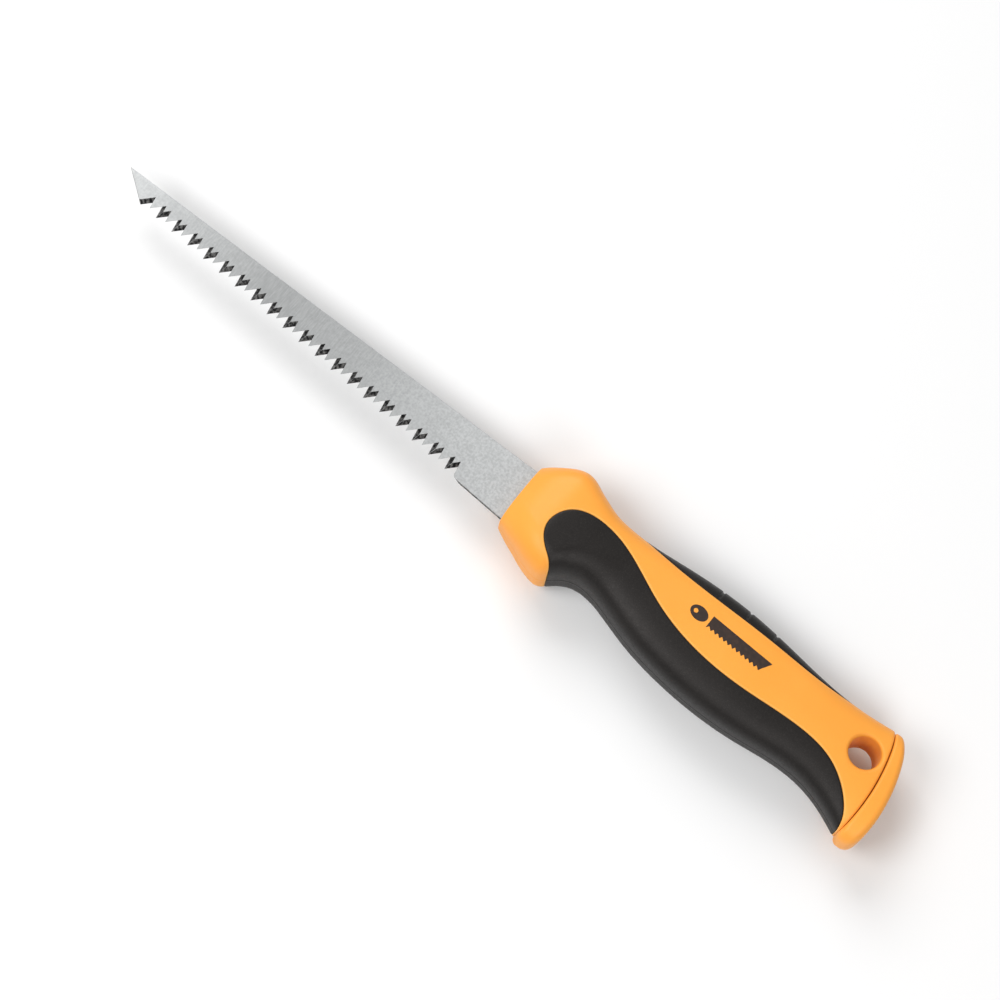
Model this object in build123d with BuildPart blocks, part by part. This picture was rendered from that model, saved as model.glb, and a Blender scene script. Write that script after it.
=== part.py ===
from build123d import *
import os
from math import cos, radians, sin, tan

# A 6 inch drywall (jab) saw. Its shapes are drawn in the saw's own side view: x runs from the
# front face of the handle towards the blade's point, y from the middle of the blade towards the
# belly, where the teeth and the fingers are, and z is out of the saw's side. The saw lies on its
# right side, so the assembly stands on z = 0, with its origin at the bottom centre of its box.

# Driving dimensions, in millimetres
BLADE_OUT = 152.4  # blade from the handle's face to its point
HANDLE_LENGTH = 134.8
NOSE_DEPTH = 16.1  # how far the nose reaches on the spine side
CAP_DEPTH = 24.7  # how far the cap reaches on the belly side
MAX_THICKNESS = 26.0

X_FACE = (HANDLE_LENGTH - BLADE_OUT) / 2
Y_AXIS = (NOSE_DEPTH - CAP_DEPTH) / 2
Z_MID = MAX_THICKNESS / 2
SIDE = Plane(origin=(X_FACE, Y_AXIS, Z_MID), x_dir=(1, 0, 0), z_dir=(0, 0, 1))

# Blade
BLADE_THICK = 1.5
SPINE_Y = -9.0
HEEL_Y = 8.65  # lower edge at the handle's face
TAPER = 4.0  # degrees between the spine and the tooth line
POINT_ANGLE = 37.0  # degrees between the spine and the slanted front edge
HEEL_ROUND = 1.2  # corner in front of the heel
TANG_TOP = -6.0
TANG_BOTTOM = 3.6
TANG_END = -72.0
TANG_HOLES = (-24.0, -58.0)
TANG_HOLE_RADIUS = 2.5

# Teeth: pairs of gullets are filed through the blade, alternately skewed to either side
TOOTH_PAIRS = 20
PAIR_PITCH = 6.35
FIRST_GULLET_X = 139.8
GULLET_SPLIT = 3.5  # from a right-skewed gullet to the next left-skewed one
SKEW = 0.95  # sideways run of a gullet for each millimetre through the blade
FRONT_LEAN = 15.0  # degrees from square, edge that faces the point
BACK_LEAN = 39.0  # degrees from square, edge that faces the handle
ROOT_OFFSET = 5.0  # gullet root above the line of the lower edge

# Handle sections: x, spine y, belly y, half thickness at the spine and at the belly
SECTIONS = (
    (0, -9.85, 10.4, 7.6, 7.8),
    (-2, -11.4, 11.35, 9.0, 9.2),
    (-4.5, -12.9, 12.4, 10.5, 10.7),
    (-8.5, -15.1, 13.9, 12.0, 12.2),
    (-12.5, -16.1, 15.5, 12.9, 12.9),
    (-16, -15.35, 16.4, 12.9, 12.9),
    (-18.5, -14.2, 16.55, 12.7, 12.9),
    (-20.5, -13.4, 15.4, 12.5, 12.9),
    (-23, -12.45, 13.25, 12.2, 12.9),
    (-26, -11.5, 11.45, 11.8, 12.8),
    (-31, -10.85, 10.7, 11.2, 12.7),
    (-38, -10.8, 12.1, 10.4, 12.6),
    (-48, -11.75, 15.2, 9.5, 12.6),
    (-60, -12.8, 17.65, 8.9, 12.5),
    (-76, -12.7, 18.95, 8.4, 12.3),
    (-90, -11.2, 18.4, 8.1, 12.0),
    (-102, -9.8, 17.1, 7.8, 11.6),
    (-112, -9.4, 17.4, 7.6, 11.1),
    (-120, -9.9, 19.5, 7.5, 10.5),
    (-132, -11.5, 25.2, 7.4, 9.8),
)
SPINE_ROUND = 5.5
BELLY_ROUND = 6.8
INSET_ROUND = 0.7  # how much of the inset comes off the corner radii

# Soft mouldings
SKIN = 3.0
STRIP_GROOVES = (-63.2, -72.9, -82.6)
GROOVE_WIDTH = 1.3
GROOVE_DEPTH = 0.5
KEY_HALF_WIDTH = 2.5  # rib that holds the back strip

# Butt cap and hang hole
JOINT = ((-123.2, -14.0), (-128.9, 9.0), (-127.6, 27.0))  # arc where the cap meets the handle
CAP_BACK = ((-126.2, -14.0), (-133.6, 4.0), (-133.8, 27.0))  # arc of the cap's back
CAP_SPINE = -10.3
CAP_HALF_SPINE = 7.9
CAP_HALF_BELLY = 10.2
CAP_ROUND = 2.0
JOINT_ROUND = 0.4
TENON_SIZE = (8.0, 6.0, 8.0)
TENON_CENTER = (-128.5, 12.0)
HOLE_X = -121.3
HOLE_Y = 1.2
HOLE_RADIUS = 4.75
RIM_ROUND = 1.2


def across(x):
    """Plane square to the saw's length, x from the handle's face, drawn in (y, z)."""
    return Plane(origin=SIDE.from_local_coords((x, 0, 0)), x_dir=(0, 1, 0), z_dir=(1, 0, 0))


def handle_section(x, spine, belly, z_spine, z_belly, inset):
    """Rounded wedge section of the handle, drawn inset from its surface."""
    with BuildSketch(across(x)) as section:
        with BuildLine():
            Polyline(
                (spine + inset, inset - z_spine),
                (belly - inset, inset - z_belly),
                (belly - inset, z_belly - inset),
                (spine + inset, z_spine - inset),
                close=True,
            )
        make_face()
        fillet(section.vertices().group_by(Axis.X)[0], SPINE_ROUND - inset * INSET_ROUND)
        fillet(section.vertices().group_by(Axis.X)[-1], BELLY_ROUND - inset * INSET_ROUND)
    return section.sketch.face()


# Handle form, and the same form inset by the thickness of the soft mouldings
with BuildPart() as handle_form:
    loft(sections=[handle_section(*station, 0) for station in SECTIONS])

with BuildPart() as inner_form:
    loft(sections=[handle_section(*station, SKIN) for station in SECTIONS[3:]])

# The form inset by the depth of the strip's grooves, over the stretch that has them
with BuildPart() as groove_form:
    stations = [station for station in SECTIONS if -95 < station[0] < -40]
    loft(sections=[handle_section(*station, GROOVE_DEPTH) for station in stations])

# Side-view outline of the belly grip, from the lip behind the nose round to the butt
with BuildPart() as grip_zone:
    with BuildSketch(SIDE):
        with BuildLine():
            Spline(
                (-21.5, 18.0),
                (-20.8, 14.9),
                (-16.1, 10.8),
                (-12.2, 4.6),
                (-15.2, -2.5),
                (-23.5, -5.4),
                (-33.0, -4.2),
                (-49.6, 2.9),
                (-64.0, 7.1),
                (-84.0, 8.2),
                (-103.0, 7.1),
                (-114.5, 8.9),
                (-122.8, 14.3),
                (-127.0, 20.3),
                (-127.9, 26.0),
            )
            Line((-127.9, 26.0), (-21.5, 26.0))
            Line((-21.5, 26.0), (-21.5, 18.0))
        make_face()
    extrude(amount=MAX_THICKNESS, both=True)
    add(inner_form.part, mode=Mode.SUBTRACT)

# Side-view outline of the back strip, which sits on a key along the spine
with BuildPart() as strip_zone:
    with BuildSketch(SIDE):
        with BuildLine():
            Spline((-33.0, -11.75), (-44.0, -9.7), (-62.0, -8.6), (-82.0, -8.6), (-98.0, -8.4), (-112.0, -10.1))
            Line((-112.0, -10.1), (-112.0, -18.0))
            Line((-112.0, -18.0), (-33.0, -18.0))
            Line((-33.0, -18.0), (-33.0, -11.75))
        make_face()
    extrude(amount=MAX_THICKNESS, both=True)
    with BuildSketch(SIDE):
        with BuildLine():
            ThreePointArc((-46.0, -7.5), (-72.0, -10.4), (-98.0, -7.5))
            Line((-98.0, -7.5), (-46.0, -7.5))
        make_face()
    extrude(amount=KEY_HALF_WIDTH, both=True, mode=Mode.SUBTRACT)

# Finger grooves across the strip
with BuildPart() as strip_grooves:
    with BuildSketch(SIDE):
        with Locations(*[(x, -12.0) for x in STRIP_GROOVES]):
            Rectangle(GROOVE_WIDTH, 8.0)
    extrude(amount=MAX_THICKNESS, both=True)
    add(groove_form.part, mode=Mode.SUBTRACT)

# Everything behind the joint between handle and cap
with BuildPart() as cap_zone:
    with BuildSketch(SIDE):
        with BuildLine():
            ThreePointArc(*JOINT)
            Line(JOINT[2], (-140.0, 27.0))
            Line((-140.0, 27.0), (-140.0, -14.0))
            Line((-140.0, -14.0), JOINT[0])
        make_face()
    extrude(amount=MAX_THICKNESS, both=True)

# Blade: a ground blank with a slanted point, a heel without teeth and a tang with moulding holes
with BuildPart() as blade:
    lower_slope = tan(radians(TAPER))
    point_slope = tan(radians(POINT_ANGLE))
    toe_x = (SPINE_Y + point_slope * BLADE_OUT - HEEL_Y) / (point_slope - lower_slope)
    toe = (toe_x, HEEL_Y - lower_slope * toe_x)
    with BuildSketch(SIDE):
        with BuildLine():
            Polyline(
                (TANG_END, TANG_TOP),
                (-12.0, TANG_TOP),
                (-6.0, SPINE_Y),
                (BLADE_OUT, SPINE_Y),
                toe,
                (-3.0, HEEL_Y + 3.0 * lower_slope),
                (-10.0, TANG_BOTTOM),
                (TANG_END, TANG_BOTTOM),
                close=True,
            )
        make_face()
        with Locations(*[(x, (TANG_TOP + TANG_BOTTOM) / 2) for x in TANG_HOLES]):
            Circle(TANG_HOLE_RADIUS, mode=Mode.SUBTRACT)
    extrude(amount=BLADE_THICK / 2, both=True)

    right_skewed = [FIRST_GULLET_X - n * PAIR_PITCH for n in range(TOOTH_PAIRS)]
    left_skewed = [x + GULLET_SPLIT for x in right_skewed[1:]]
    gullets = [(x, SKEW) for x in right_skewed] + [(x, -SKEW) for x in left_skewed]
    for x, skew in gullets:
        root = (x, HEEL_Y - lower_slope * x - ROOT_OFFSET)
        front = radians(FRONT_LEAN - TAPER)
        back = radians(BACK_LEAN + TAPER)
        reach = 2 * ROOT_OFFSET
        with BuildSketch(SIDE):
            with BuildLine():
                Polyline(
                    root,
                    (root[0] - reach * sin(front), root[1] + reach * cos(front)),
                    (root[0] + reach * sin(back), root[1] + reach * cos(back)),
                    close=True,
                )
            make_face()
        extrude(amount=2 * BLADE_THICK, dir=(skew, 0, 1), both=True, mode=Mode.SUBTRACT)
    corner_x = right_skewed[-1] - ROOT_OFFSET * tan(front)
    heel_corner = SIDE.from_local_coords((corner_x, HEEL_Y - lower_slope * corner_x, 0))
    fillet(blade.edges().sort_by_distance(heel_corner)[0], HEEL_ROUND)

# Hard handle core, moulded round the tang, with pockets for the two soft mouldings
with BuildPart() as handle_core:
    add(handle_form.part)
    add(grip_zone.part, mode=Mode.SUBTRACT)
    add(strip_zone.part, mode=Mode.SUBTRACT)
    add(cap_zone.part, mode=Mode.SUBTRACT)
    add(blade.part, mode=Mode.SUBTRACT)
    with BuildSketch(SIDE):
        with Locations(TENON_CENTER):
            Rectangle(TENON_SIZE[0], TENON_SIZE[1])
    extrude(amount=TENON_SIZE[2] / 2, both=True, mode=Mode.SUBTRACT)
    with BuildSketch(SIDE):
        with Locations((HOLE_X, HOLE_Y)):
            Circle(HOLE_RADIUS)
    extrude(amount=MAX_THICKNESS, both=True, mode=Mode.SUBTRACT)
    bores = handle_core.faces().filter_by(GeomType.CYLINDER)
    hang_hole = bores.filter_by(lambda face: abs(face.radius - HOLE_RADIUS) < 0.01)
    rims = hang_hole.edges().filter_by(GeomType.LINE, reverse=True)
    fillet(rims, RIM_ROUND)

# Soft belly grip
with BuildPart() as belly_grip:
    add(handle_form.part)
    add(grip_zone.part, mode=Mode.INTERSECT)

# Soft back strip
with BuildPart() as back_strip:
    add(handle_form.part)
    add(strip_zone.part, mode=Mode.INTERSECT)
    add(strip_grooves.part, mode=Mode.SUBTRACT)

# Butt cap with its tenon
with BuildPart() as butt_cap:
    with BuildSketch(across(-150.0)) as cap_section:
        with BuildLine():
            Polyline(
                (CAP_SPINE, -CAP_HALF_SPINE),
                (CAP_DEPTH, -CAP_HALF_BELLY),
                (CAP_DEPTH, CAP_HALF_BELLY),
                (CAP_SPINE, CAP_HALF_SPINE),
                close=True,
            )
        make_face()
        fillet(cap_section.vertices().group_by(Axis.X)[0], SPINE_ROUND)
        fillet(cap_section.vertices().group_by(Axis.X)[-1], BELLY_ROUND)
    extrude(amount=40.0)
    with BuildSketch(SIDE):
        with BuildLine():
            ThreePointArc(*JOINT)
            Line(JOINT[2], CAP_BACK[2])
            ThreePointArc(*CAP_BACK)
            Line(CAP_BACK[0], JOINT[0])
        make_face()
    extrude(amount=MAX_THICKNESS, both=True, mode=Mode.INTERSECT)
    back_face = butt_cap.faces().sort_by(Axis.X)[0]
    fillet(back_face.edges(), CAP_ROUND)
    joint_face = butt_cap.faces().sort_by(Axis.X)[-1]
    fillet(joint_face.edges(), JOINT_ROUND)
    with BuildSketch(SIDE):
        with Locations(TENON_CENTER):
            Rectangle(TENON_SIZE[0], TENON_SIZE[1])
    extrude(amount=TENON_SIZE[2] / 2, both=True)

PIECES = {
    "blade": blade,
    "handle_core": handle_core,
    "belly_grip": belly_grip,
    "back_strip": back_strip,
    "butt_cap": butt_cap,
}
os.makedirs("parts", exist_ok=True)
for name, piece in PIECES.items():
    piece.part.label = name
    export_step(piece.part, f"parts/{name}.step")
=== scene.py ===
"""Drywall saw: a two-material handle, its butt cap and the ground blade, round the CAD frame.

Shapes are worked out in the saw's own side view, in millimetres: x runs from the handle's front
face towards the blade's point, y from the middle of the blade towards the belly and z out of the
left side. place() turns them into the row frame.
"""
from math import cos, pi, radians, sin

import bmesh
import bpy
import numpy as np
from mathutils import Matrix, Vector
from mathutils.geometry import delaunay_2d_cdt
from mathutils.kdtree import KDTree


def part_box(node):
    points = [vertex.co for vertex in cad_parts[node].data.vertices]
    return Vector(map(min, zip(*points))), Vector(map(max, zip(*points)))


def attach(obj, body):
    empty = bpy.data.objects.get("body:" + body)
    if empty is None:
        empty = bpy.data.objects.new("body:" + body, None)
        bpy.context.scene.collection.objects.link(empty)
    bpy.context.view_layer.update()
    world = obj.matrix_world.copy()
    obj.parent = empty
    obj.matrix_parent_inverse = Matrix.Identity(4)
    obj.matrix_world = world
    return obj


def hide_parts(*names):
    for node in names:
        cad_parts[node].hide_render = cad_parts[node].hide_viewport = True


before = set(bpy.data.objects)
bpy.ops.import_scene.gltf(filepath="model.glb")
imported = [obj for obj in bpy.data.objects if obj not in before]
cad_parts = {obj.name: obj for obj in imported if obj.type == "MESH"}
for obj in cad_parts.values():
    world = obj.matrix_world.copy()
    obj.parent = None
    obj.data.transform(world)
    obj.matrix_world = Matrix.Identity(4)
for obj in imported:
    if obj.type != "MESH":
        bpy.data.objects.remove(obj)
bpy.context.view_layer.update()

MM = 0.001
BLADE_SPINE_Y = -9.0
BLADE_LENGTH = 152.4
_, core_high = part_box("handle_core")
blade_low, blade_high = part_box("blade")
ORIGIN = np.array(
    (core_high.x, blade_low.y - BLADE_SPINE_Y * MM, (blade_low.z + blade_high.z) / 2)
)

# Handle stations: x, spine y, belly y, half thickness at the spine and at the belly
STATIONS = np.array((
    (0, -9.85, 10.4, 7.6, 7.8),
    (-2, -11.4, 11.35, 9.0, 9.2),
    (-4.5, -12.9, 12.4, 10.5, 10.7),
    (-8.5, -15.1, 13.9, 12.0, 12.2),
    (-12.5, -16.1, 15.5, 12.9, 12.9),
    (-16, -15.35, 16.4, 12.9, 12.9),
    (-18.5, -14.2, 16.55, 12.7, 12.9),
    (-20.5, -13.4, 15.4, 12.5, 12.9),
    (-23, -12.45, 13.25, 12.2, 12.9),
    (-26, -11.5, 11.45, 11.8, 12.8),
    (-31, -10.85, 10.7, 11.2, 12.7),
    (-38, -10.8, 12.1, 10.4, 12.6),
    (-48, -11.75, 15.2, 9.5, 12.6),
    (-60, -12.8, 17.65, 8.9, 12.5),
    (-76, -12.7, 18.95, 8.4, 12.3),
    (-90, -11.2, 18.4, 8.1, 12.0),
    (-102, -9.8, 17.1, 7.8, 11.6),
    (-112, -9.4, 17.4, 7.6, 11.1),
    (-120, -9.9, 19.5, 7.5, 10.5),
    (-132, -11.5, 25.2, 7.4, 9.8),
))
SPINE_REACH = 6.5  # how far the rounding runs in from the spine
REACH_X = (-133, -100, -60, -42, -34, -28.5, -23.5, -19, -10, 0)
BELLY_REACH = (16.0, 16.0, 16.0, 14.5, 11.5, 8.2, 8.3, 7.7, 8.0, 8.0)
BELLY_POWER = 1.25  # run of the rounding across, 1 is a circle's
SPINE_POWER = 0.9
SIDE_POWER = 0.476  # run of the rounding up, steep beside the parting line
BELLY_REACH_LIMIT = 0.58  # most of a section's depth that the belly's rounding takes
BELLY_CORNER_W = 0.38  # where the belly's rounding ends, for w from 0 at the belly to 1
SPINE_CORNER_W = 0.66  # where the spine's rounding starts
CROWN = 0.35  # how much the side faces fall away towards their edges

# Outlines of the soft mouldings on the side
GRIP_EDGE = (
    (-21.5, 18.0),
    (-20.8, 14.9),
    (-16.1, 10.8),
    (-12.2, 4.6),
    (-15.2, -2.5),
    (-23.5, -5.4),
    (-33.0, -4.2),
    (-49.6, 2.9),
    (-64.0, 7.1),
    (-84.0, 8.2),
    (-103.0, 7.1),
    (-114.5, 8.9),
    (-122.8, 14.3),
    (-127.0, 20.3),
    (-127.9, 26.0),
)
STRIP_EDGE = (
    (-31.5, -11.1),
    (-37.0, -10.2),
    (-44.0, -9.3),
    (-62.0, -8.5),
    (-82.0, -8.5),
    (-98.0, -8.2),
    (-108.0, -8.75),
    (-116.0, -9.9),
)
STRIP_GROOVES = (-63.2, -72.9, -82.6)
GROOVE_HALF_WIDTH = 0.7
GROOVE_DEPTH = 0.38
POCKET = 2.2  # depth of the pockets that the soft mouldings fill
POCKET_GAP = 0.03
EDGE_ROUND = 0.42  # rounding of every edge beside a pocket
PARTING_HEIGHT = 0.09
PARTING_HALF_WIDTH = 0.28

# Butt cap and hang hole
JOINT_ARC = ((-123.2, -14.0), (-128.9, 9.0), (-127.6, 27.0))
BACK_ARC = ((-126.2, -14.0), (-133.6, 4.0), (-133.8, 27.0))
JOINT_ROUND = 0.8
JOINT_GAP = 0.25
CAP_SECTION = (-10.3, 24.7, 7.9, 10.2, 16.0)  # as a station without x, then the belly's reach
CAP_BACK_ROUND = 2.0
CAP_END_Y = (14.0, 24.0)  # over this stretch the cap's edges grow rounder towards its lower end
CAP_END_JOINT_ROUND = 1.1  # extra rounding at the lower end
CAP_END_BACK_ROUND = 1.0
HOLE_CENTER = (-121.3, 1.2)
HOLE_RADIUS = 4.75
RIM_ROUND = 1.2

# Front face and the slot that the blade leaves by
FRONT_ROUND = 0.45
SLOT_SPINE_Y = BLADE_SPINE_Y + 0.05
SLOT_BELLY_Y = 8.78
SLOT_HALF_WIDTH = 0.95
SLOT_LIP = 0.2
SLOT_DEPTH = 4.0

STEP = 0.8  # mesh size on open surfaces
FINE = 0.35  # mesh size along edges
CLEAR = 0.06  # least distance between mesh points beside edges
SHEET_MARGIN = 0.04
END_TS = np.linspace(0, 1, 97)  # t of the mesh points on the front face's and the joint's edges
NO_RIM = 99.0  # stands for far from every edge


def place(points):
    """Row-frame positions in metres of side-frame points in millimetres."""
    return ORIGIN + np.asarray(points, float) * MM


def natural_spline(knots, values):
    """Smooth curve through values at increasing knots, as a function."""
    knots = np.asarray(knots, float)
    values = np.asarray(values, float)
    gaps = np.diff(knots)
    slopes = np.diff(values) / gaps
    size = len(knots)
    system = np.eye(size)
    right = np.zeros(size)
    for i in range(1, size - 1):
        system[i, i - 1] = gaps[i - 1]
        system[i, i] = 2 * (gaps[i - 1] + gaps[i])
        system[i, i + 1] = gaps[i]
        right[i] = 6 * (slopes[i] - slopes[i - 1])
    bends = np.linalg.solve(system, right)

    def curve(at):
        at = np.asarray(at, float)
        i = np.clip(np.searchsorted(knots, at) - 1, 0, size - 2)
        run = at - knots[i]
        left = knots[i + 1] - at
        gap = gaps[i]
        return (
            (bends[i] * left**3 + bends[i + 1] * run**3) / (6 * gap)
            + (values[i] / gap - bends[i] * gap / 6) * left
            + (values[i + 1] / gap - bends[i + 1] * gap / 6) * run
        )

    return curve


spine_at, belly_at, spine_half_at, belly_half_at = (
    natural_spline(STATIONS[::-1, 0], STATIONS[::-1, column]) for column in range(1, 5)
)
belly_reach_at = natural_spline(REACH_X, BELLY_REACH)


def wedge(w, spine, belly, spine_half, belly_half, belly_reach):
    """(y, z) on half a rounded wedge, for w from 0 at the belly to 1 at the spine."""
    belly_reach = np.minimum(belly_reach, BELLY_REACH_LIMIT * (belly - spine))
    belly_turn = np.clip(w / BELLY_CORNER_W, 0, 1) * pi / 2
    spine_turn = np.clip((1 - w) / (1 - SPINE_CORNER_W), 0, 1) * pi / 2
    along = np.clip((w - BELLY_CORNER_W) / (SPINE_CORNER_W - BELLY_CORNER_W), 0, 1)
    belly_inner = belly - belly_reach
    spine_inner = spine + SPINE_REACH
    y = belly_inner + (spine_inner - belly_inner) * along
    y = y + belly_reach * np.abs(np.cos(belly_turn)) ** BELLY_POWER
    y = y - SPINE_REACH * np.abs(np.cos(spine_turn)) ** SPINE_POWER
    share = (y - spine) / (belly - spine)
    half = spine_half + (belly_half - spine_half) * share - CROWN * (2 * share - 1) ** 2
    z = half * (np.sin(belly_turn) * np.sin(spine_turn)) ** SIDE_POWER
    return y, z


def contour(x, w):
    """(y, z) on the left half of the handle's contour at x."""
    halves = (spine_half_at(x), belly_half_at(x))
    return wedge(w, spine_at(x), belly_at(x), *halves, belly_reach_at(x))


# Each contour measured along its length, so that points can be set evenly round it
ROW_X = np.arange(-133.0, 0.51, 0.5)
ROW_W = []
ROW_LENGTH = []
EVEN = np.linspace(0, 1, 201)
FINE_W = np.linspace(0, 1, 801)
for row_x in ROW_X:
    row_y, row_z = contour(row_x, FINE_W)
    run = np.concatenate(([0], np.cumsum(np.hypot(np.diff(row_y), np.diff(row_z)))))
    ROW_LENGTH.append(run[-1])
    ROW_W.append(np.interp(EVEN * run[-1], run, FINE_W))
ROW_W = np.array(ROW_W)
ROW_LENGTH = np.array(ROW_LENGTH)


def length_at(x):
    return np.interp(x, ROW_X, ROW_LENGTH)


def surface(x, t):
    """Points of the handle's surface, for t from 0 at the belly to 1 at the spine.

    A little beyond either end, t carries on round the right side.
    """
    x = np.asarray(x, float)
    t = np.asarray(t, float)
    side = np.where((t < 0) | (t > 1), -1.0, 1.0)
    t = np.abs(t)
    t = np.where(t > 1, 2 - t, t)
    column = t * (len(EVEN) - 1)
    left = np.clip(column.astype(int), 0, len(EVEN) - 2)
    part = column - left
    row = (x - ROW_X[0]) / (ROW_X[1] - ROW_X[0])
    low = np.clip(row.astype(int), 0, len(ROW_X) - 2)
    share = row - low
    w_low = ROW_W[low, left] * (1 - part) + ROW_W[low, left + 1] * part
    w_high = ROW_W[low + 1, left] * (1 - part) + ROW_W[low + 1, left + 1] * part
    y, z = contour(x, w_low * (1 - share) + w_high * share)
    return np.stack((x, y, z * side), -1)


def normals(x, t):
    """Outward normals of the handle's surface."""
    step_x = 0.1
    step_t = 0.003
    along = surface(x + step_x, t) - surface(x - step_x, t)
    around = surface(x, t + step_t) - surface(x, t - step_t)
    out = np.cross(around, along)
    return out / np.linalg.norm(out, axis=-1, keepdims=True)


HALVINGS = 32


def t_at(x, y):
    """t of the surface point that shows at (x, y) in the side view."""
    x = np.asarray(x, float)
    low = np.zeros_like(x)
    high = np.ones_like(x)
    for _ in range(HALVINGS):
        middle = (low + high) / 2
        below = surface(x, middle)[..., 1] > y
        low = np.where(below, middle, low)
        high = np.where(below, high, middle)
    return (low + high) / 2


def arc_x(arc):
    """x as a function of y on the circle through three points."""
    (x1, y1), (x2, y2), (x3, y3) = arc
    turn = 2 * (x1 * (y2 - y3) + x2 * (y3 - y1) + x3 * (y1 - y2))
    s1, s2, s3 = x1 * x1 + y1 * y1, x2 * x2 + y2 * y2, x3 * x3 + y3 * y3
    center_x = (s1 * (y2 - y3) + s2 * (y3 - y1) + s3 * (y1 - y2)) / turn
    center_y = (s1 * (x3 - x2) + s2 * (x1 - x3) + s3 * (x2 - x1)) / turn
    radius = np.hypot(x1 - center_x, y1 - center_y)
    return lambda y: center_x - np.sqrt(radius**2 - (np.asarray(y) - center_y) ** 2)


joint_x = arc_x(JOINT_ARC)
back_x = arc_x(BACK_ARC)


def rounding(distance, radius):
    """How deep a rounded edge lies under the surface, by distance from the edge."""
    gap = np.clip(1 - distance / radius, 0, 1)
    return radius * (1 - np.sqrt(1 - gap**2))


def even_points(points, step):
    """The polyline's points set again at even steps."""
    points = np.asarray(points, float)
    run = np.concatenate(([0], np.cumsum(np.linalg.norm(np.diff(points, axis=0), axis=1))))
    count = max(2, int(round(run[-1] / step)) + 1)
    at = np.linspace(0, run[-1], count)
    return np.stack([np.interp(at, run, points[:, k]) for k in range(points.shape[1])], -1)


def smooth_curve(points, step):
    """Even points on a smooth curve through points."""
    points = np.asarray(points, float)
    run = np.concatenate(([0], np.cumsum(np.linalg.norm(np.diff(points, axis=0), axis=1))))
    at = np.linspace(0, run[-1], int(run[-1] / step) + 2)
    columns = [natural_spline(run, points[:, k])(at) for k in range(points.shape[1])]
    return np.stack(columns, -1)


def inside(points, polygon):
    """Which points lie in the polygon."""
    px, py = points[:, 0], points[:, 1]
    found = np.zeros(len(points), bool)
    for (ax, ay), (bx, by) in zip(polygon, np.roll(polygon, -1, axis=0)):
        if ay == by:
            continue
        crosses = (ay > py) != (by > py)
        found ^= crosses & (px < (bx - ax) * (py - ay) / (by - ay) + ax)
    return found


def tree_of(points):
    """A search tree of points with 2 or 3 coordinates."""
    tree = KDTree(len(points))
    for i, p in enumerate(points):
        tree.insert((p[0], p[1], p[2] if len(p) > 2 else 0.0), i)
    tree.balance()
    return tree


def distances(points, tree):
    spots = [(p[0], p[1], p[2] if len(p) > 2 else 0.0) for p in points]
    return np.array([tree.find(spot)[2] for spot in spots])


def triangulate(points, edges):
    """Triangles over all the points that keep the edges, and the points each corner came from."""
    vectors = [Vector((float(p[0]), float(p[1]))) for p in points]
    result = delaunay_2d_cdt(vectors, edges, [], 0, 1e-5, True)
    flat = np.array([(v.x, v.y) for v in result[0]])
    faces = np.array([tuple(f) for f in result[2] if len(f) == 3])
    return flat, faces, result[3]


# The handle's left half is unrolled into a flat sheet: x, and v measured round the contour from
# the middle of the side
def sheet_v(x, t):
    return (np.asarray(t, float) - 0.5) * length_at(x)


def sheet_of_side(points):
    """Sheet points of side-view points."""
    x, y = points[:, 0], points[:, 1]
    return np.stack((x, sheet_v(x, t_at(x, y))), -1)


def soft_edge(points, on_belly):
    """Outline of a soft moulding on the sheet, run out to the belly or the spine."""
    curve = smooth_curve(points, 0.1)
    x, y = curve[:, 0], curve[:, 1]
    margin = 0.02
    shown = y < belly_at(x) - margin if on_belly else y > spine_at(x) + margin
    edge = sheet_of_side(curve[shown])
    end_t = 0.0 if on_belly else 1.0
    first = (edge[0, 0], sheet_v(edge[0, 0], end_t))
    last = (edge[-1, 0], sheet_v(edge[-1, 0], end_t))
    return even_points(np.vstack((first, edge, last)), FINE)


grip_edge = soft_edge(GRIP_EDGE, True)
strip_edge = soft_edge(STRIP_EDGE, False)
ring_angles = np.linspace(0, 2 * pi, 96, endpoint=False)
ring_directions = np.stack((np.cos(ring_angles), np.sin(ring_angles)), -1)
hole_ring = sheet_of_side(HOLE_CENTER + (HOLE_RADIUS + RIM_ROUND) * ring_directions)


def joint_line(t):
    """x of the joint with the cap, for each t."""
    x = np.full_like(np.asarray(t, float), -127.0)
    for _ in range(12):
        x = joint_x(surface(x, t)[..., 1])
    return x


def lines_on_sheet():
    """The sheet's own outline: belly, front, spine and joint, each from end to end."""
    joint = joint_line(END_TS)
    run_count = 260
    belly_xs = np.linspace(joint[0], 0, run_count)
    belly_xs = np.unique(np.concatenate((belly_xs, grip_edge[[0, -1], 0])))
    spine_xs = np.linspace(joint[-1], 0, run_count)
    spine_xs = np.unique(np.concatenate((spine_xs, strip_edge[[0, -1], 0])))
    return {
        "belly": np.stack((belly_xs, sheet_v(belly_xs, 0.0)), -1),
        "spine": np.stack((spine_xs, sheet_v(spine_xs, 1.0)), -1),
        "front": np.stack((np.zeros_like(END_TS), sheet_v(0.0, END_TS)), -1),
        "joint": np.stack((joint, sheet_v(joint, END_TS)), -1),
    }


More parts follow.
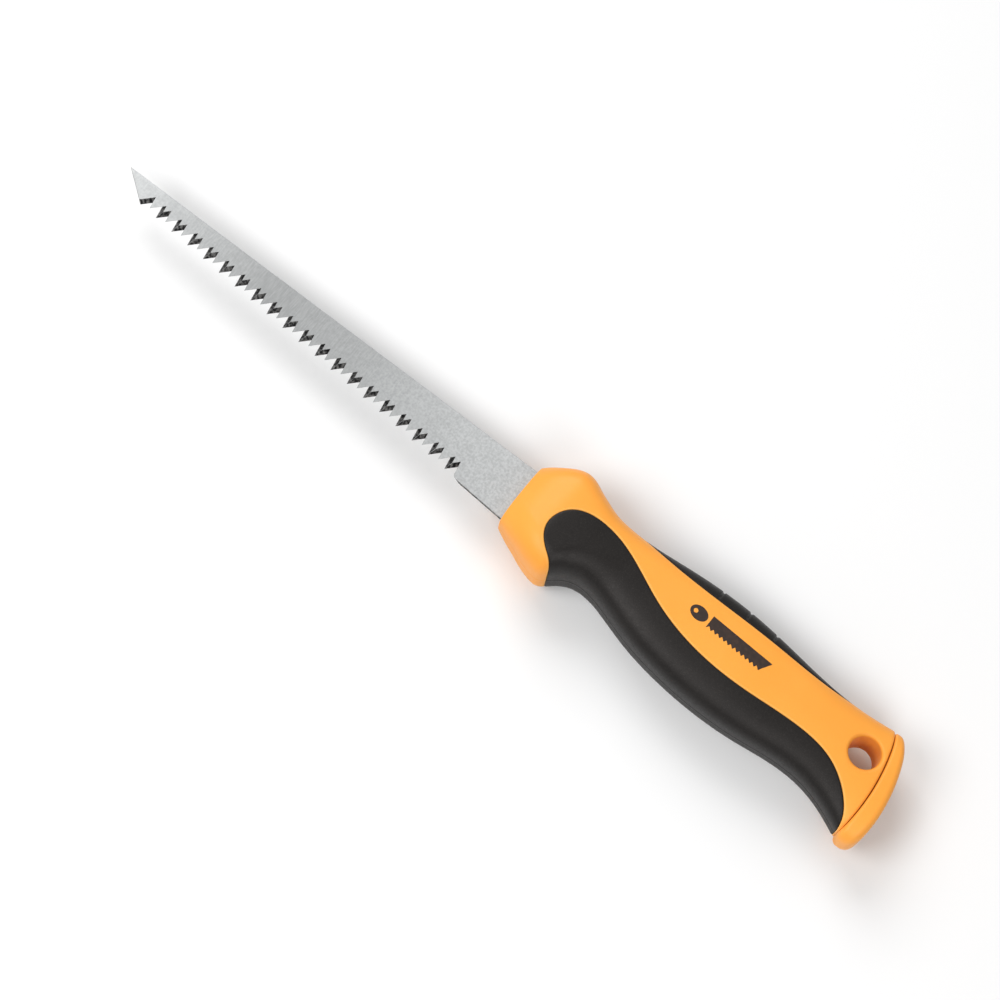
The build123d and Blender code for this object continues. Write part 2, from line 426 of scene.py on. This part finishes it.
def make_sheet():
    """Points and triangles of the unrolled left half, finer beside every edge and line."""
    outline = lines_on_sheet()
    points = []
    edges = []

    def add_line(line, closed=False):
        start = len(points)
        points.extend(map(tuple, line))
        count = len(line)
        edges.extend((start + i, start + i + 1) for i in range(count - 1))
        if closed:
            edges.append((start + count - 1, start))

    for line in outline.values():
        add_line(line)
    add_line(grip_edge)
    add_line(strip_edge)
    add_line(hole_ring, closed=True)
    lines = [even_points(line, 0.1) for line in (grip_edge, strip_edge)]
    lines.append(even_points(np.vstack((hole_ring, hole_ring[:1])), 0.1))
    edge_tree = tree_of(np.vstack(lines))

    def add_free(candidates, clear, edge_clear=None):
        """Candidates that lie on the sheet, clear of the lines and of the points so far."""
        candidates = np.asarray(candidates, float)
        x, v = candidates[:, 0], candidates[:, 1]
        half = length_at(x) / 2
        t = v / (2 * half) + 0.5
        ok = (np.abs(v) < half - SHEET_MARGIN) & (x < -SHEET_MARGIN)
        ok &= x > joint_line(np.clip(t, 0, 1)) + SHEET_MARGIN
        candidates = candidates[ok]
        near = distances(candidates, edge_tree)
        candidates = candidates[near > (clear if edge_clear is None else edge_clear)]
        taken = distances(candidates, tree_of(points))
        points.extend(map(tuple, candidates[taken > clear]))

    for offset in (0.08, 0.18, 0.32, 0.6):
        rows = []
        for line in (grip_edge, strip_edge):
            tangent = np.gradient(line, axis=0)
            tangent /= np.linalg.norm(tangent, axis=1, keepdims=True)
            across = np.stack((-tangent[:, 1], tangent[:, 0]), -1)
            rows += [line + across * offset, line - across * offset]
        add_free(np.vstack(rows), CLEAR, offset * 0.93)
    joint = outline["joint"][:, 0]
    for offset in (0.08, 0.2, 0.34, 0.5, 0.9):
        front = np.stack((np.full_like(END_TS, -offset), sheet_v(-offset, END_TS)), -1)
        back = np.stack((joint + offset, sheet_v(joint + offset, END_TS)), -1)
        add_free(np.vstack((front, back)), CLEAR, 0.25)
    for offset in (0.1, 0.2, 0.3, 0.7):
        belly = outline["belly"] + (0, offset)
        spine = outline["spine"] - (0, offset)
        add_free(np.vstack((belly, spine)), CLEAR, 0.2)
    groove_steps = np.array((-1.2, -0.9, -0.65, -0.42, -0.2, 0, 0.2, 0.42, 0.65, 0.9, 1.2))
    for groove in STRIP_GROOVES:
        xs, vs = np.meshgrid(groove + groove_steps, np.arange(4, 26, 0.45))
        add_free(np.stack((xs.ravel(), vs.ravel()), -1), 0.15, 0.25)
    xs = np.arange(-134.0, 0.0, STEP * 0.866)
    vs = np.arange(-32.0, 32.0, STEP)
    grid_x, grid_v = np.meshgrid(xs, vs)
    grid_v = grid_v + (np.arange(len(xs)) % 2) * STEP / 2
    add_free(np.stack((grid_x.ravel(), grid_v.ravel()), -1), STEP * 0.5)
    flat, faces, _ = triangulate(points, edges)
    return flat, faces


sheet, sheet_faces = make_sheet()
sheet_x = sheet[:, 0]
sheet_t = np.clip(sheet[:, 1] / length_at(sheet_x) + 0.5, 0, 1)
on_belly = sheet_t < 1e-4
on_spine = sheet_t > 1 - 1e-4
sheet_t = np.where(on_belly, 0.0, np.where(on_spine, 1.0, sheet_t))
centers = sheet[sheet_faces].mean(axis=1)
FAR = 60.0
grip_region = np.vstack((grip_edge, (grip_edge[-1, 0], -FAR), (grip_edge[0, 0], -FAR)))
strip_region = np.vstack((strip_edge, (strip_edge[-1, 0], FAR), (strip_edge[0, 0], FAR)))
CORE, GRIP, STRIP, OPEN = range(4)
region = np.zeros(len(sheet_faces), int)
region[inside(centers, grip_region)] = GRIP
region[inside(centers, strip_region)] = STRIP
region[inside(centers, hole_ring)] = OPEN
center_t = centers[:, 1] / length_at(centers[:, 0]) + 0.5
off_sheet = (center_t < 0) | (center_t > 1) | (centers[:, 0] > 0)
off_sheet |= centers[:, 0] < joint_line(np.clip(center_t, 0, 1))
region[off_sheet] = OPEN

base = surface(sheet_x, sheet_t)
outward = normals(sheet_x, sheet_t)
mirror_line = on_belly | on_spine
base[mirror_line, 2] = 0
outward[mirror_line, 2] = 0
outward /= np.linalg.norm(outward, axis=1, keepdims=True)
edge_points = np.vstack([even_points(line, 0.05) for line in (grip_edge, strip_edge)])
edge_t = np.clip(edge_points[:, 1] / length_at(edge_points[:, 0]) + 0.5, 0, 1)
edge_distance = distances(base, tree_of(surface(edge_points[:, 0], edge_t)))
edge_distance[edge_distance < 0.03] = 0

from_middle = np.minimum(sheet_t, 1 - sheet_t) * length_at(sheet_x)
# Height of the finished skin over the smooth surface: parting ridge, rounded edges and grooves
ridge = PARTING_HEIGHT * np.clip(1 - from_middle / PARTING_HALF_WIDTH, 0, 1)
ridge = ridge - rounding(np.maximum(-sheet_x, 0), FRONT_ROUND)
ridge = ridge - rounding(np.maximum(sheet_x - joint_line(sheet_t), 0), JOINT_ROUND)
ridge = ridge - rounding(edge_distance, EDGE_ROUND)
groove_gap = np.min([np.abs(sheet_x - groove) for groove in STRIP_GROOVES], axis=0)
notch = GROOVE_DEPTH * (0.5 + 0.5 * np.cos(np.clip(groove_gap / GROOVE_HALF_WIDTH, 0, 1) * pi))
notch = notch * np.clip((edge_distance - 0.2) / 1.2, 0, 1)
skin = base + outward * ridge[:, None]
strip_skin = skin - outward * notch[:, None]
floor = base - outward * POCKET


class Soup:
    """Vertices and faces gathered loose, then welded into one closed mesh."""

    def __init__(self):
        self.points = []
        self.faces = []
        self.rims = []

    def add(self, points, faces, rims=None):
        """Each point's rim is its distance from the nearest edge, for the materials."""
        start = len(self.points)
        self.points.extend(map(tuple, points))
        self.faces.extend(tuple(int(i) + start for i in face) for face in faces)
        self.rims.extend([NO_RIM] * len(points) if rims is None else map(float, rims))

    def add_used(self, points, faces, rims=None):
        """Only the points that the faces use."""
        used, back = np.unique(faces, return_inverse=True)
        self.add(points[used], back.reshape(faces.shape), None if rims is None else rims[used])

    def add_rows(self, rows, closed=True):
        """Quads between rows of equal length."""
        rows = np.asarray(rows)
        count = rows.shape[1]
        faces = []
        for r in range(rows.shape[0] - 1):
            for i in range(count if closed else count - 1):
                j = (i + 1) % count
                low, high = r * count, (r + 1) * count
                faces.append((low + i, low + j, high + j, high + i))
        self.add(rows.reshape(-1, 3), faces)

    def mirror(self):
        """The same again on the right side."""
        count = len(self.points)
        self.points += [(x, y, -z) for x, y, z in self.points]
        self.faces += [tuple(i + count for i in reversed(face)) for face in self.faces]
        self.rims += self.rims

    def build(self, name, material, node, sharp=50.0):
        bm = bmesh.new()
        layer = bm.verts.layers.float.new("rim")
        for point, rim in zip(place(self.points), self.rims):
            vert = bm.verts.new(point)
            vert[layer] = rim
        bm.verts.ensure_lookup_table()
        for face in self.faces:
            if len(set(face)) == len(face):
                bm.faces.new([bm.verts[i] for i in face])
        bmesh.ops.remove_doubles(bm, verts=bm.verts, dist=0.002 * MM)
        bmesh.ops.dissolve_degenerate(bm, edges=bm.edges, dist=0.0005 * MM)
        loose = [v for v in bm.verts if not v.link_faces]
        bmesh.ops.delete(bm, geom=loose, context="VERTS")
        bmesh.ops.recalc_face_normals(bm, faces=bm.faces)
        for face in bm.faces:
            face.smooth = True
        for edge in bm.edges:
            if len(edge.link_faces) == 2 and edge.calc_face_angle() > radians(sharp):
                edge.smooth = False
        mesh = bpy.data.meshes.new(name)
        bm.to_mesh(mesh)
        bm.free()
        finish_piece(name, mesh, material, node)


def finish_piece(name, mesh, material, node=None):
    piece = bpy.data.objects.new(name, mesh)
    bpy.context.scene.collection.objects.link(piece)
    mesh.materials.clear()
    mesh.materials.append(material)
    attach(piece, "root")
    if node:
        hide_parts(node)


def region_borders(wanted):
    """Directed edges of the wanted regions' faces whose other side is another region."""
    owner = {}
    for face, kind in zip(sheet_faces, region):
        for i in range(3):
            owner[(face[i], face[(i + 1) % 3])] = kind
    borders = []
    for (a, b), kind in owner.items():
        if kind == wanted:
            other = owner.get((b, a), OPEN)
            if other != wanted:
                borders.append((a, b, other))
    return borders


def walls(soup, borders, upper, lower):
    for a, b, _ in borders:
        soup.add((upper[a], upper[b], lower[b], lower[a]), ((3, 2, 1, 0),), (0, 0, 0, 0))


def flat_patch(loops, spacing):
    """Triangles inside the first flat loop and outside the others."""
    points = []
    edges = []
    for loop in loops:
        start = len(points)
        points.extend(map(tuple, loop))
        edges.extend((start + i, start + (i + 1) % len(loop)) for i in range(len(loop)))
    outer, holes = loops[0], loops[1:]
    first, last = outer.min(0) + spacing / 2, outer.max(0)
    us, vs = np.meshgrid(
        np.arange(first[0], last[0], spacing), np.arange(first[1], last[1], spacing)
    )
    grid = np.stack((us.ravel(), vs.ravel()), -1)
    grid = grid[inside(grid, outer)]
    grid = grid[distances(grid, tree_of(points)) > spacing * 0.6]
    for hole in holes:
        grid = grid[~inside(grid, hole)]
    points.extend(map(tuple, grid))
    flat, faces, origins = triangulate(points, edges)
    centers = flat[faces].mean(axis=1)
    keep = inside(centers, outer)
    for hole in holes:
        keep &= ~inside(centers, hole)
    return flat, faces[keep], origins


def fill(soup, loops, x_of, spacing):
    """A face inside the first loop and outside the others, at x = x_of(y)."""
    flat, faces, origins = flat_patch([loop[:, 1:] for loop in loops], spacing)
    solid = np.vstack(loops)
    placed = np.stack((x_of(flat[:, 0]), flat[:, 0], flat[:, 1]), -1)
    for i, origin in enumerate(origins):
        if origin and origin[0] < len(solid):
            placed[i] = solid[origin[0]]
    soup.add_used(placed, faces)


def both_halves(line):
    """A closed loop from a left-half line that starts and ends on the middle plane."""
    line = np.asarray(line)
    back = line[-2:0:-1] * (1, 1, -1)
    return np.vstack((line, back))


def noise(tree, vector, scale, detail=2.0, roughness=0.5):
    node = tree.nodes.new("ShaderNodeTexNoise")
    node.inputs["Scale"].default_value = scale
    node.inputs["Detail"].default_value = detail
    node.inputs["Roughness"].default_value = roughness
    tree.links.new(vector, node.inputs["Vector"])
    return node.outputs["Fac"]


def remap(tree, value, low, high, to_low, to_high):
    node = tree.nodes.new("ShaderNodeMapRange")
    node.inputs["From Min"].default_value = low
    node.inputs["From Max"].default_value = high
    node.inputs["To Min"].default_value = to_low
    node.inputs["To Max"].default_value = to_high
    tree.links.new(value, node.inputs["Value"])
    return node.outputs["Result"]


def mix(tree, factor, first, second):
    """Colours mixed by a factor. Each colour is a tuple or a socket."""
    node = tree.nodes.new("ShaderNodeMix")
    node.data_type = "RGBA"
    for key, colour in (("A", first), ("B", second)):
        socket = [s for s in node.inputs if s.name == key and s.type == "RGBA"][0]
        if isinstance(colour, tuple):
            socket.default_value = (*colour, 1.0)
        else:
            tree.links.new(colour, socket)
    tree.links.new(factor, node.inputs["Factor"])
    return [s for s in node.outputs if s.type == "RGBA"][0]


def bump(tree, shader, layers):
    """Bump layers, each (height socket, depth in millimetres)."""
    previous = None
    for height, depth in layers:
        node = tree.nodes.new("ShaderNodeBump")
        node.inputs["Strength"].default_value = 1.0
        node.inputs["Distance"].default_value = depth * MM
        tree.links.new(height, node.inputs["Height"])
        if previous:
            tree.links.new(previous, node.inputs["Normal"])
        previous = node.outputs["Normal"]
    tree.links.new(previous, shader.inputs["Normal"])


def new_material(name):
    """A material, its node tree, its shader and the surface position in metres."""
    material = bpy.data.materials.new(name)
    material.use_nodes = True
    tree = material.node_tree
    shader = tree.nodes["Principled BSDF"]
    position = tree.nodes.new("ShaderNodeTexCoord").outputs["Object"]
    return material, tree, shader, position


def rim_of(tree):
    """Distance in millimetres from the nearest edge of the piece."""
    node = tree.nodes.new("ShaderNodeAttribute")
    node.attribute_name = "rim"
    return node.outputs["Fac"]


# Colours: the body's two tones first, then what varies on them
ORANGE = ((0.86, 0.338, 0.047), (0.88, 0.358, 0.055))
# painted highlight: paler orange along the edges of the orange pieces
ORANGE_RIM_HIGHLIGHT = (0.92, 0.47, 0.12)
BLACK = ((0.0050, 0.0042, 0.0038), (0.0070, 0.0059, 0.0053))
BLACK_DUST = (0.022, 0.020, 0.018)
# painted shade: near-black along the edges of the soft mouldings
BLACK_EDGE_SHADE = (0.004, 0.0035, 0.003)
INK = ((0.022, 0.010, 0.006), (0.070, 0.030, 0.014))
# Tone of the ground flank by share of the blade's length from the handle: painted reflection,
# lighter at the heel and the point, darker in the middle
STEEL_REFLECTION_TONES = ((0.0, 0.59), (0.25, 0.42), (0.40, 0.31), (0.62, 0.235), (0.82, 0.31), (1.0, 0.37))
STEEL_TINT = (0.975, 0.995, 1.0)
STEEL_SPECKLE = (0.20, 0.205, 0.205)
STEEL_LINE = (0.60, 0.61, 0.60)
# painted shade with lighter painted streaks, on faces that turn away from the blade's flat sides
FACET_SHADE_TONES = ((0.014, 0.014, 0.015), (0.22, 0.215, 0.21))


def hard_plastic():
    material, tree, shader, position = new_material("hard_plastic")
    cloud = noise(tree, position, 35.0, 3.0)
    fine = noise(tree, position, 1800.0, 2.0)
    body = mix(tree, remap(tree, cloud, 0.35, 0.65, 0, 1), *ORANGE)
    # Painted highlight: the orange turns paler within about 0.75 mm of an edge
    rim_highlight = remap(tree, rim_of(tree), 0.15, 0.75, 0.55, 0.0)
    tree.links.new(mix(tree, rim_highlight, body, ORANGE_RIM_HIGHLIGHT), shader.inputs["Base Color"])
    tree.links.new(remap(tree, fine, 0.3, 0.7, 0.36, 0.46), shader.inputs["Roughness"])
    shader.inputs["Subsurface Weight"].default_value = 0.08
    shader.inputs["Subsurface Radius"].default_value = (0.9, 0.35, 0.1)
    shader.inputs["Subsurface Scale"].default_value = 1.5 * MM
    shader.inputs["IOR"].default_value = 1.46
    shader.inputs["Specular IOR Level"].default_value = 0.3
    bump(tree, shader, ((fine, 0.012), (cloud, 0.05)))
    return material


def soft_rubber():
    material, tree, shader, position = new_material("soft_rubber")
    cloud = noise(tree, position, 45.0, 3.0)
    grain = noise(tree, position, 1500.0, 3.0, 0.6)
    specks = noise(tree, position, 3400.0, 1.0)
    body = mix(tree, remap(tree, cloud, 0.35, 0.65, 0, 1), *BLACK)
    dusty = mix(tree, remap(tree, specks, 0.52, 0.72, 0.0, 0.6), body, BLACK_DUST)
    # Painted shade: the rubber turns darker within about 0.8 mm of an edge, a dark line along its
    # border
    rim = remap(tree, rim_of(tree), 0.1, 0.8, 0.7, 0.0)
    tree.links.new(mix(tree, rim, dusty, BLACK_EDGE_SHADE), shader.inputs["Base Color"])
    tree.links.new(remap(tree, grain, 0.3, 0.7, 0.42, 0.55), shader.inputs["Roughness"])
    shader.inputs["IOR"].default_value = 1.5
    shader.inputs["Specular IOR Level"].default_value = 0.31
    shader.inputs["Specular Tint"].default_value = (1.0, 0.95, 0.93, 1.0)
    bump(tree, shader, ((grain, 0.026), (cloud, 0.03)))
    return material


def stretched(tree, vector, scale, turn=0.0):
    """Coordinates scaled along each axis and turned about z."""
    node = tree.nodes.new("ShaderNodeMapping")
    node.inputs["Scale"].default_value = scale
    node.inputs["Rotation"].default_value = (0.0, 0.0, turn)
    tree.links.new(vector, node.inputs["Vector"])
    return node.outputs["Vector"]


def axis_of(tree, vector, axis):
    node = tree.nodes.new("ShaderNodeSeparateXYZ")
    tree.links.new(vector, node.inputs["Vector"])
    return node.outputs[axis]


def ground_steel():
    """Flat faces ground with slanted lines; edges and gullets in painted shade with painted
    streaks.
    """
    material, tree, shader, position = new_material("ground_steel")
    lines = noise(tree, stretched(tree, position, (1.0, 0.12, 1.0), radians(12)), 2600.0, 3.0, 0.6)
    speckle = noise(tree, position, 1500.0, 2.0)
    cloud = noise(tree, position, 28.0, 3.0)
    heel_x = ORIGIN[0]
    point_x = ORIGIN[0] + BLADE_LENGTH * MM
    # Painted reflection: the flank's tone changes along the blade's length
    ramp = tree.nodes.new("ShaderNodeValToRGB")
    for share, _ in STEEL_REFLECTION_TONES[1:-1]:
        ramp.color_ramp.elements.new(share)
    for stop, (share, tone) in zip(ramp.color_ramp.elements, STEEL_REFLECTION_TONES):
        stop.position = share
        stop.color = (*(tint * tone for tint in STEEL_TINT), 1.0)
    along = remap(tree, axis_of(tree, position, "X"), heel_x, point_x, 0.0, 1.0)
    tree.links.new(along, ramp.inputs["Fac"])
    colour = ramp.outputs["Color"]
    colour = mix(tree, remap(tree, speckle, 0.35, 0.65, 0.0, 0.35), colour, STEEL_SPECKLE)
    colour = mix(tree, remap(tree, lines, 0.4, 0.75, 0.0, 0.16), colour, STEEL_LINE)
    # Painted shade: faces that turn away from the flat sides go near-black, with lighter painted
    # streaks
    geometry = tree.nodes.new("ShaderNodeNewGeometry")
    flatness = tree.nodes.new("ShaderNodeMath")
    flatness.operation = "ABSOLUTE"
    facing_up = axis_of(tree, geometry.outputs["True Normal"], "Z")
    tree.links.new(facing_up, flatness.inputs[0])
    facet_shade = remap(tree, flatness.outputs[0], 0.80, 0.97, 1.0, 0.0)
    streak = noise(tree, stretched(tree, position, (1.0, 1.0, 0.25)), 1300.0, 2.0)
    facet_shade_streaks = mix(tree, remap(tree, streak, 0.42, 0.68, 0.0, 1.0), *FACET_SHADE_TONES)
    tree.links.new(mix(tree, facet_shade, colour, facet_shade_streaks), shader.inputs["Base Color"])
    shader.inputs["Metallic"].default_value = 0.85
    tree.links.new(remap(tree, cloud, 0.3, 0.7, 0.34, 0.46), shader.inputs["Roughness"])
    bump(tree, shader, ((lines, 0.006), (speckle, 0.004)))
    return material


def print_ink():
    material, tree, shader, position = new_material("print_ink")
    wear = noise(tree, position, 900.0, 3.0)
    ink = mix(tree, remap(tree, wear, 0.45, 0.75, 0.0, 0.35), *INK)
    tree.links.new(ink, shader.inputs["Base Color"])
    tree.links.new(remap(tree, wear, 0.3, 0.7, 0.45, 0.6), shader.inputs["Roughness"])
    bump(tree, shader, ((wear, 0.01),))
    return material


plastic = hard_plastic()
rubber = soft_rubber()
steel = ground_steel()
ink = print_ink()


def make_core():
    """Core with its pockets, the hang hole, the blade's slot and the face at the joint."""
    soup = Soup()
    soup.add_used(skin, sheet_faces[region == CORE], edge_distance)
    soup.add_used(floor, sheet_faces[(region == GRIP) | (region == STRIP)])
    pockets = [b for b in region_borders(CORE) if b[2] in (GRIP, STRIP)]
    walls(soup, pockets, skin, floor)

    # Rounded rim and wall of the hang hole
    radial = np.hypot(base[:, 0] - HOLE_CENTER[0], base[:, 1] - HOLE_CENTER[1])
    ring = np.where(np.abs(radial - HOLE_RADIUS - RIM_ROUND) < 0.01)[0]
    angles = np.arctan2(base[ring, 1] - HOLE_CENTER[1], base[ring, 0] - HOLE_CENTER[0])
    ring = ring[np.argsort(angles)]
    angles = np.sort(angles)
    directions = np.stack((np.cos(angles), np.sin(angles)), -1)
    rows = [skin[ring]]
    for turn in np.linspace(0, pi / 2, 9)[1:]:
        radius = HOLE_RADIUS + RIM_ROUND * (1 - sin(turn))
        spots = HOLE_CENTER + radius * directions
        z = surface(spots[:, 0], t_at(spots[:, 0], spots[:, 1]))[:, 2]
        rows.append(np.column_stack((spots, z - RIM_ROUND * (1 - cos(turn)))))
    wall_top = rows[-1]
    for share in np.linspace(0, 1, 9)[1:]:
        rows.append(wall_top * (1, 1, 1 - share))
    soup.add_rows(rows)
    soup.mirror()

    # Front face, with a slot for the blade
    front = np.where(sheet_x > -1e-4)[0]
    front = front[np.argsort(sheet_t[front])]
    loop = both_halves(skin[front])
    mouth_count = 40
    ys = np.linspace(SLOT_BELLY_Y, SLOT_SPINE_Y, mouth_count)
    side = np.zeros(mouth_count)
    mouth = np.vstack((
        np.column_stack((side, ys, side + SLOT_HALF_WIDTH)),
        np.column_stack((side, ys[::-1], side - SLOT_HALF_WIDTH)),
    ))
    lip = mouth * (0, 1, 0.9) - (SLOT_LIP, 0, 0)
    slot_floor = mouth * (0, 1, 0.86) - (SLOT_DEPTH, 0, 0)
    fill(soup, (loop, mouth), lambda y: np.full_like(y, loop[:, 0].mean()), 1.0)
    soup.add_rows([mouth, lip, slot_floor])
    fill(soup, (slot_floor,), lambda y: np.full_like(y, -SLOT_DEPTH), 0.5)

    # Face at the joint with the cap
    joint_rim = np.where(np.abs(sheet_x - joint_line(sheet_t)) < 0.01)[0]
    joint_rim = joint_rim[np.argsort(sheet_t[joint_rim])]
    fill(soup, (both_halves(skin[joint_rim]),), joint_x, 2.0)
    soup.build("handle_core_shell", plastic, "handle_core")


def make_soft(kind, top, name, node):
    """A soft moulding that fills its pocket, but for a thin gap at the bottom."""
    soup = Soup()
    faces = sheet_faces[region == kind]
    soup.add_used(top, faces, edge_distance)
    under = base - outward * (POCKET - POCKET_GAP)
    soup.add_used(under, faces[:, ::-1])
    middle = set(np.where(mirror_line)[0])
    rim = [b for b in region_borders(kind) if not (b[0] in middle and b[1] in middle)]
    walls(soup, rim, top, under)
    soup.mirror()
    soup.build(name, rubber, node)


def make_cap():
    """Butt cap: rings of its section from the joint to the back, rounded at both."""
    soup = Soup()
    ws = np.linspace(0, 1, 1601)
    fine_y, fine_z = wedge(ws, *CAP_SECTION)
    run = np.concatenate(([0], np.cumsum(np.hypot(np.diff(fine_y), np.diff(fine_z)))))
    at = np.interp(np.linspace(0, run[-1], 110), run, ws)
    y, z = wedge(at, *CAP_SECTION)
    half = np.column_stack((np.zeros_like(y), y, z))
    half[[0, -1], 2] = 0
    loop = both_halves(half)
    ahead = np.roll(loop, -1, axis=0) - np.roll(loop, 1, axis=0)
    inward = np.column_stack((np.zeros(len(loop)), ahead[:, 2], -ahead[:, 1]))
    inward /= np.linalg.norm(inward, axis=1, keepdims=True)
    middle = np.array((0, (loop[:, 1].min() + loop[:, 1].max()) / 2, 0))
    if np.sum(inward * (middle - loop)) < 0:
        inward = -inward
    end_start, end_stop = CAP_END_Y
    lower_end = np.clip((loop[:, 1] - end_start) / (end_stop - end_start), 0, 1) ** 2
    joint_round = JOINT_ROUND + CAP_END_JOINT_ROUND * lower_end
    back_round = CAP_BACK_ROUND + CAP_END_BACK_ROUND * lower_end
    thick = joint_x(loop[:, 1]) - back_x(loop[:, 1]) - JOINT_GAP
    rows = []

    def add_row(run_in, inset):
        row = loop + inward * inset[:, None]
        row[:, 0] = joint_x(loop[:, 1]) - JOINT_GAP - run_in
        rows.append(row)

    for turn in np.linspace(0, pi / 2, 7):
        add_row(joint_round * (1 - cos(turn)), joint_round * (1 - sin(turn)))
    straight = thick - back_round - joint_round
    for part in np.linspace(0, 1, 6)[1:-1]:
        add_row(joint_round + straight * part, 0 * thick)
    for turn in np.linspace(0, pi / 2, 13):
        add_row(thick - back_round * (1 - sin(turn)), back_round * (1 - cos(turn)))
    soup.add_rows(rows)
    fill(soup, (rows[0],), lambda y: joint_x(y) - JOINT_GAP, 2.0)
    fill(soup, (rows[-1],), back_x, 1.0)
    soup.build("butt_cap_shell", plastic, "butt_cap")


MARK_MIDDLE = (-73.4, -1.1)
MARK_SLOPE = -0.042
INK_TOP = 0.03  # over the plastic
INK_BOTTOM = -0.08
GRIP_OVAL = (12.0, 2.9, 2.15)  # x, half length and half height
GRIP_HOLE = (13.2, 0.7)  # x and radius
MARK_TEETH = 12
MARK_PITCH = 1.55
MARK_TOP, MARK_GULLET, MARK_TIP = -2.1, 1.15, 2.1


def make_mark():
    """A plain tool pictogram printed on the left side: a grip with a hole, and a toothed blade."""
    soup = Soup()

    def on_side(points, lift):
        points = np.asarray(points, float)
        x = MARK_MIDDLE[0] + points[:, 0]
        y = MARK_MIDDLE[1] + points[:, 1] + MARK_SLOPE * points[:, 0]
        t = t_at(x, y)
        return surface(x, t) + normals(x, t) * lift

    def slab(*outlines):
        loops = [even_points(line + line[:1], 0.3)[:-1] for line in outlines]
        flat, faces, _ = flat_patch(loops, 0.6)
        soup.add_used(on_side(flat, INK_TOP), faces)
        soup.add_used(on_side(flat, INK_BOTTOM), faces[:, ::-1])
        for line in loops:
            soup.add_rows([on_side(line, INK_TOP), on_side(line, INK_BOTTOM)])

    turns = np.linspace(0, 2 * pi, 40, endpoint=False)
    oval_x, oval_length, oval_height = GRIP_OVAL
    hole_x, hole_radius = GRIP_HOLE
    slab(
        [(oval_x + oval_length * cos(a), oval_height * sin(a)) for a in turns],
        [(hole_x + hole_radius * cos(a), hole_radius * sin(a)) for a in turns[::-1]],
    )
    teeth = []
    for n in range(MARK_TEETH):
        x = -10.8 + n * MARK_PITCH
        teeth += [(x + 0.2, MARK_TIP), (x + MARK_PITCH * 0.8, MARK_GULLET)]
    point = [(-12.9, MARK_TOP), (-11.0, 1.2)]
    slab([(8.2, MARK_TOP)] + point + teeth + [(8.2, MARK_TIP)])
    soup.build("side_mark", ink, None, 30.0)


BLADE_BEVEL = 0.07


def make_blade():
    """The CAD blade with its sharp edges broken."""
    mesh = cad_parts["blade"].data.copy()
    mesh.name = "blade_ground"
    bm = bmesh.new()
    bm.from_mesh(mesh)
    bmesh.ops.remove_doubles(bm, verts=bm.verts, dist=0.001 * MM)
    bmesh.ops.dissolve_limit(bm, angle_limit=radians(0.5), verts=bm.verts, edges=bm.edges)
    sharp = [e for e in bm.edges if len(e.link_faces) == 2 and e.calc_face_angle() > radians(20)]
    bmesh.ops.bevel(
        bm, geom=sharp, offset=BLADE_BEVEL * MM, segments=1, profile=0.5,
        affect="EDGES", clamp_overlap=True,
    )
    for face in bm.faces:
        face.smooth = False
    bm.to_mesh(mesh)
    bm.free()
    finish_piece("blade_ground", mesh, steel, "blade")


make_core()
make_soft(GRIP, skin, "belly_grip_skin", "belly_grip")
make_soft(STRIP, strip_skin, "back_strip_skin", "back_strip")
make_cap()
make_mark()
make_blade()

# Floor
FLOOR_HALF = 3.0
FLOOR_TONE = 0.80
WORLD_STRENGTH = 0.41
mesh = bpy.data.meshes.new("floor")
corners = [(-FLOOR_HALF, -FLOOR_HALF, 0), (FLOOR_HALF, -FLOOR_HALF, 0)]
corners += [(FLOOR_HALF, FLOOR_HALF, 0), (-FLOOR_HALF, FLOOR_HALF, 0)]
mesh.from_pydata(corners, [], [(0, 1, 2, 3)])
floor_plane = bpy.data.objects.new("floor", mesh)
bpy.context.scene.collection.objects.link(floor_plane)
floor_material, _, floor_shader, _ = new_material("floor_paper")
floor_shader.inputs["Base Color"].default_value = (FLOOR_TONE, FLOOR_TONE, FLOOR_TONE, 1)
floor_shader.inputs["Roughness"].default_value = 0.9
mesh.materials.append(floor_material)

# Soft studio light
world = bpy.data.worlds.new("studio")
world.use_nodes = True
background = world.node_tree.nodes["Background"]
background.inputs["Color"].default_value = (1.0, 1.0, 1.0, 1)
background.inputs["Strength"].default_value = WORLD_STRENGTH
bpy.context.scene.world = world


def softbox(name, location, size, watts):
    """A rectangular lamp that faces the saw's middle."""
    light = bpy.data.lights.new(name, "AREA")
    light.shape = "RECTANGLE"
    light.size, light.size_y = size
    light.energy = watts
    lamp = bpy.data.objects.new(name, light)
    lamp.location = location
    lamp.rotation_euler = (-Vector(location)).to_track_quat("-Z", "Y").to_euler()
    bpy.context.scene.collection.objects.link(lamp)


softbox("left", (0.443, 0.527, 0.983), (0.6, 0.6), 7.0)
softbox("right", (-0.6, 0.6, 0.85), (0.5, 0.5), 4.1)
softbox("far", (0.758, -0.636, 0.99), (0.8, 0.8), 10.4)

# Camera at the photograph's viewing angle
CAMERA_SIDE = (-101.5, 213.2, 719.9)
TARGET_SIDE = (4.08, 4.17, 0.0)
CAMERA_ROLL = 0.687
eye = Vector(place(CAMERA_SIDE))
forward = (Vector(place(TARGET_SIDE)) - eye).normalized()
level = forward.cross(Vector((0, -1, 0))).normalized()
upright = level.cross(forward)
right = cos(CAMERA_ROLL) * level + sin(CAMERA_ROLL) * upright
up = cos(CAMERA_ROLL) * upright - sin(CAMERA_ROLL) * level
camera_data = bpy.data.cameras.new("camera")
camera_data.lens = 95.0
camera_data.sensor_width = 36.0
camera_data.clip_start = 0.01
camera = bpy.data.objects.new("camera", camera_data)
bpy.context.scene.collection.objects.link(camera)
pose = camera.matrix_world.to_3x3()
pose.col[0], pose.col[1], pose.col[2] = right, up, -forward
camera.matrix_world = pose.to_4x4()
camera.location = eye
bpy.context.scene.camera = camera
bpy.context.scene.view_settings.view_transform = "Standard"
